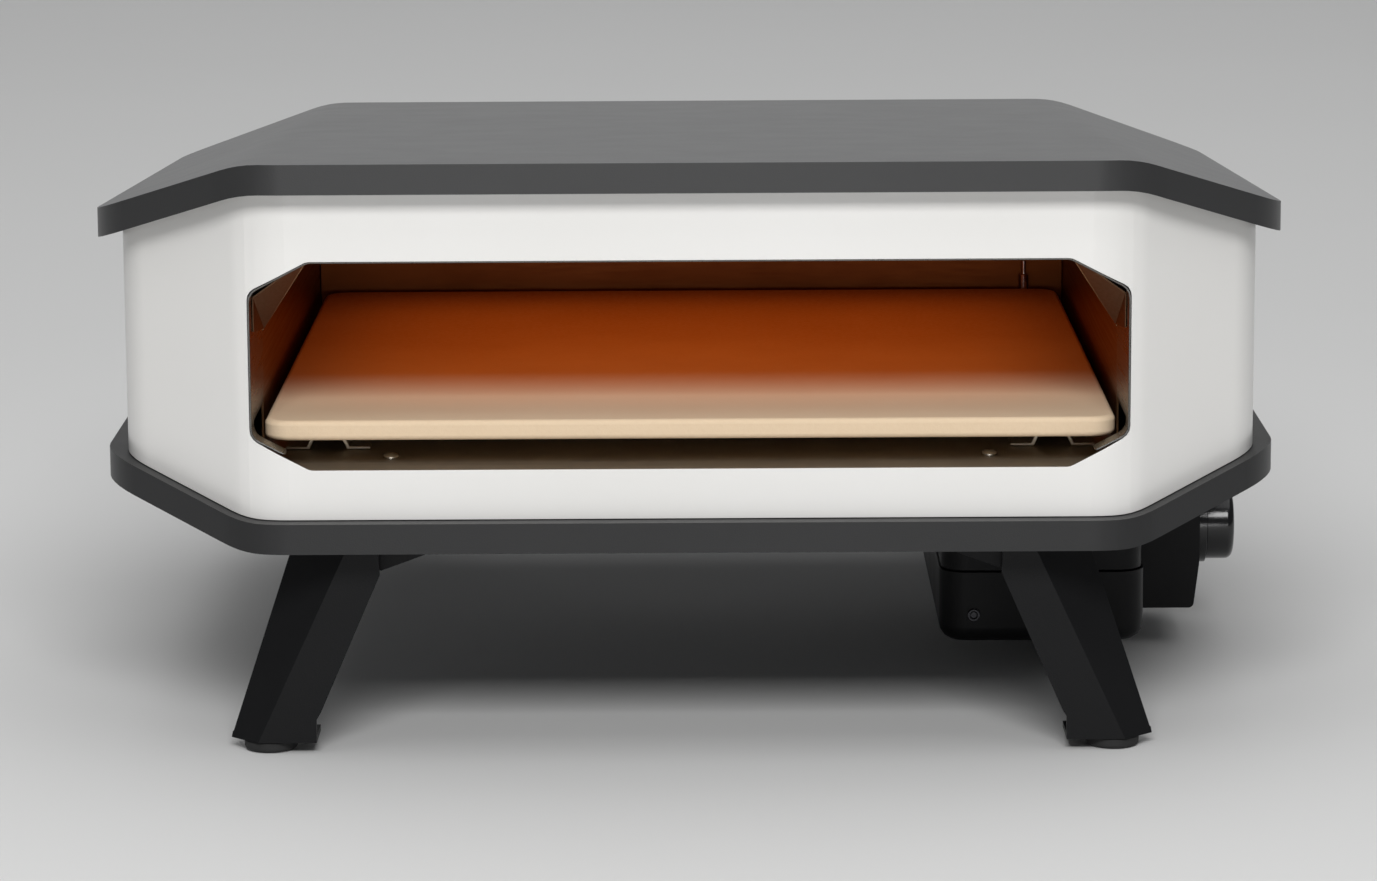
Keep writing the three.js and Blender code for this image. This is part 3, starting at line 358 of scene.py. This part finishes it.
for corner in CORNERS:
    DRESS["stone_support_" + corner] = (PAN, 0.0004)
for number in (1, 2, 3, 4):
    DRESS["rear_screw_%d" % number] = (PLATED, 0.0005)
    SOCKETS["rear_screw_%d" % number] = (0, 1, 0)
for corner in CORNERS:
    DRESS["leg_" + corner] = (COAT_PAINTED_SHADE, 0.0007)
    DRESS["foot_" + corner] = (RUBBER, 0.0005)
    DRESS["leg_pin_" + corner] = (PLATED, 0.0004)
    DRESS["leg_bracket_" + corner] = (COAT_PAINTED_SHADE, 0.0004)
    WIDE["leg_" + corner] = (0.0030, is_ridge)

SHARP = math.radians(34)       # edges bent more than this are rounded
FLAT = math.radians(0.6)       # faces bent less than this are joined
SAME_PLACE = 0.000004          # corners closer than this are one
SOCKET_SHARE = 0.42            # how far in from the head's rim a socket starts, of its radius
SOCKET_SLOPE = 0.00012
SOCKET_DEPTH = 0.0008


def weigh(shape, width, wide, test):
    """Gives each sharp edge its share of the wide bevel."""
    layer = shape.edges.layers.float.new("bevel_weight_edge")
    for edge in shape.edges:
        if len(edge.link_faces) != 2 or edge.calc_face_angle(0.0) < SHARP:
            continue
        one, two = (face.normal for face in edge.link_faces)
        edge[layer] = 1.0 if edge.is_convex and test(one, two) else width / wide


def sink(shape, facing):
    """Sinks a round socket into a screw's head, the outermost face that looks this way."""
    facing = Vector(facing)

    def rank(face):
        return round(face.calc_center_median().dot(facing), 5), face.calc_area()

    head = max((face for face in shape.faces if face.normal.dot(facing) > 0.98), key=rank)
    radius = math.sqrt(head.calc_area() / math.pi)
    bmesh.ops.inset_region(shape, faces=[head], thickness=SOCKET_SHARE * radius)
    bmesh.ops.inset_region(shape, faces=[head], thickness=SOCKET_SLOPE, depth=-SOCKET_DEPTH)


def round_edges(piece, node, width):
    bevel = piece.modifiers.new("edges", "BEVEL")
    bevel.angle_limit = SHARP
    if node in WIDE:
        bevel.width, bevel.segments, bevel.limit_method = WIDE[node][0], 3, "WEIGHT"
    else:
        bevel.width, bevel.segments, bevel.limit_method = width, 2, "ANGLE"


def finished(node, look, width):
    """A copy of a node with its flat faces joined, its edges rounded and its curves smoothed."""
    mesh = frame["nodes"][node].data.copy()
    mesh.materials.clear()
    mesh.materials.append(look)
    shape = bmesh.new()
    shape.from_mesh(mesh)
    bmesh.ops.remove_doubles(shape, verts=shape.verts, dist=SAME_PLACE)
    bmesh.ops.dissolve_limit(shape, angle_limit=FLAT, verts=shape.verts, edges=shape.edges)
    if node in WIDE:
        weigh(shape, width, *WIDE[node])
    if node in SOCKETS:
        sink(shape, SOCKETS[node])
    shape.to_mesh(mesh)
    shape.free()
    piece = add_object(node + "_finish", mesh)
    for face in mesh.polygons:
        face.use_smooth = True
    if width:
        round_edges(piece, node, width)
    mesh.set_sharp_from_angle(angle=SHARP)
    normals = piece.modifiers.new("normals", "WEIGHTED_NORMAL")
    normals.keep_sharp = True
    normals.weight = 80
    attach(piece, BODY_OF[node])
    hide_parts(node)


for node, (look, width) in DRESS.items():
    if width is None:
        materials = frame["nodes"][node].data.materials
        materials.clear()
        materials.append(look)
    else:
        finished(node, look, width)


# Folded sheets that close the chamber's upper front corners, from the trim's wing to the leaning
# side wall, dark brown as painted shade. The points are the right-hand sheet's: three in the
# wing's plane, then three further in, where the wall leans.

WING_X, SHEET_FRONT, SHEET_BACK = 0.2158, -0.2711, -0.2148
SHEET_POINTS = ((WING_X, SHEET_FRONT, 0.214), (WING_X, SHEET_FRONT, 0.231),
                (WING_X, SHEET_BACK, 0.2068), (0.1895, SHEET_FRONT, 0.2498),
                (0.185, SHEET_BACK, 0.2556), (0.1834, SHEET_FRONT, 0.2594))
SHEET_FACES = ((0, 1, 2), (1, 3, 2), (3, 4, 2), (3, 5, 4))
SHEET_RIM = ((0, 1), (1, 3), (3, 5), (5, 4), (4, 2), (2, 0))
SHEET_THICKNESS = (0.0006, 0.0, 0.00045)


def corner_sheet(name, side):
    """One folded sheet; side is -1 on the left and 1 on the right."""
    count = len(SHEET_POINTS)
    inner = [Vector(point) for point in SHEET_POINTS]
    outer = [point + Vector(SHEET_THICKNESS) for point in inner]
    points = [Vector((side * point.x, point.y, point.z)) for point in inner + outer]
    faces = [face[::-1] for face in SHEET_FACES]
    faces += [tuple(count + index for index in face) for face in SHEET_FACES]
    faces += [(one, two, count + two, count + one) for one, two in SHEET_RIM]
    mesh = bpy.data.meshes.new("chamber_corner")
    mesh.from_pydata(points, [], faces)
    mesh.materials.append(PAINTED_SHADE_STEEL)
    shape = bmesh.new()
    shape.from_mesh(mesh)
    bmesh.ops.recalc_face_normals(shape, faces=shape.faces)
    shape.to_mesh(mesh)
    shape.free()
    piece = add_object("chamber_corner_" + name, mesh)
    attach(piece, BODY_OF["chamber_side_" + name])


corner_sheet("left", -1)
corner_sheet("right", 1)


# Studio

FLOOR_REACH = 14.0             # from its middle to each side
FLOOR_GAP = 0.0004             # between the floor and the feet

# The camera that was fitted to the photograph: focal length in pixels, place, turn in degrees
PHOTO_WIDTH = 1377.0
FOCAL_PIXELS = 4886.87
SENSOR_WIDTH = 36.0
CAMERA_PLACE = (0.00728, -2.6622, 0.6005)
CAMERA_YAW, CAMERA_PITCH, CAMERA_ROLL = 0.191, 10.478, 0.337
CAMERA_REACH = 60.0

FRONT_AIM = (0.0, -0.28, 0.2)  # the housing's front, for the two front lamps


def floor():
    far = FLOOR_REACH
    mesh = bpy.data.meshes.new("studio_floor")
    mesh.from_pydata([(-far, -far, 0), (far, -far, 0), (far, far, 0), (-far, far, 0)],
                     [], [(0, 1, 2, 3)])
    m = Nodes("studio_floor")
    m.base(m.mix(m.noise(1.5, 2.0), (0.70, 0.70, 0.695), (0.72, 0.72, 0.715)))
    m.set(Roughness=0.9)
    mesh.materials.append(m.material)
    piece = add_object("studio_floor", mesh)
    piece.location = (0, 0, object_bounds()[0][2] - FLOOR_GAP)


def lamp(name, place, aim, size, power, colour=(1.0, 1.0, 1.0)):
    data = bpy.data.lights.new(name, "AREA")
    data.shape = "RECTANGLE"
    data.size, data.size_y = size
    data.energy = power
    data.color = colour
    light = add_object(name, data)
    light.location = place
    light.rotation_euler = (Vector(aim) - Vector(place)).to_track_quat("-Z", "Y").to_euler()
    light.visible_camera = False


def world(colour, strength):
    sky = bpy.data.worlds.new("studio")
    sky.use_nodes = True
    background = sky.node_tree.nodes["Background"]
    background.inputs["Color"].default_value = (*colour, 1.0)
    background.inputs["Strength"].default_value = strength
    bpy.context.scene.world = sky


def camera():
    data = bpy.data.cameras.new("camera")
    data.sensor_width = SENSOR_WIDTH
    data.sensor_fit = "HORIZONTAL"
    data.lens = SENSOR_WIDTH * FOCAL_PIXELS / PHOTO_WIDTH
    data.clip_end = CAMERA_REACH
    yaw, pitch, roll = map(math.radians, (CAMERA_YAW, CAMERA_PITCH, CAMERA_ROLL))
    ahead = Vector((-math.sin(yaw) * math.cos(pitch), math.cos(yaw) * math.cos(pitch),
                    -math.sin(pitch)))
    right = Vector((math.cos(yaw), math.sin(yaw), 0.0))
    up = right.cross(ahead)
    across = right * math.cos(roll) - up * math.sin(roll)
    along = right * math.sin(roll) + up * math.cos(roll)
    turn = Matrix((across, along, -ahead)).transposed().to_4x4()
    view = add_object("camera", data)
    view.matrix_world = Matrix.Translation(CAMERA_PLACE) @ turn
    bpy.context.scene.camera = view


floor()
world(colour=(0.95, 0.97, 1.0), strength=0.10)
camera()
lamp("key", place=(0.0, -2.87, 2.08), aim=FRONT_AIM, size=(1.7, 0.90), power=70.0)
lamp("low_front", place=(0.0, -3.4, 0.20), aim=FRONT_AIM, size=(1.4, 0.36), power=7.5)
lamp("overhead", place=(0.0, 0.9, 3.2), aim=(0.0, 0.9, 0.0), size=(6.0, 6.0), power=100.0)
lamp("back_panel", place=(0.0, 5.5, 1.35), aim=(0.0, 0.0, 1.35), size=(9.0, 2.5), power=43.0)
lamp("burner_glow", place=(0.0, -0.04, 0.224), aim=(0.0, -0.04, 0.16), size=(0.38, 0.32),
     power=0.13, colour=(1.0, 0.22, 0.02))
bpy.context.scene.view_settings.view_transform = "Standard"
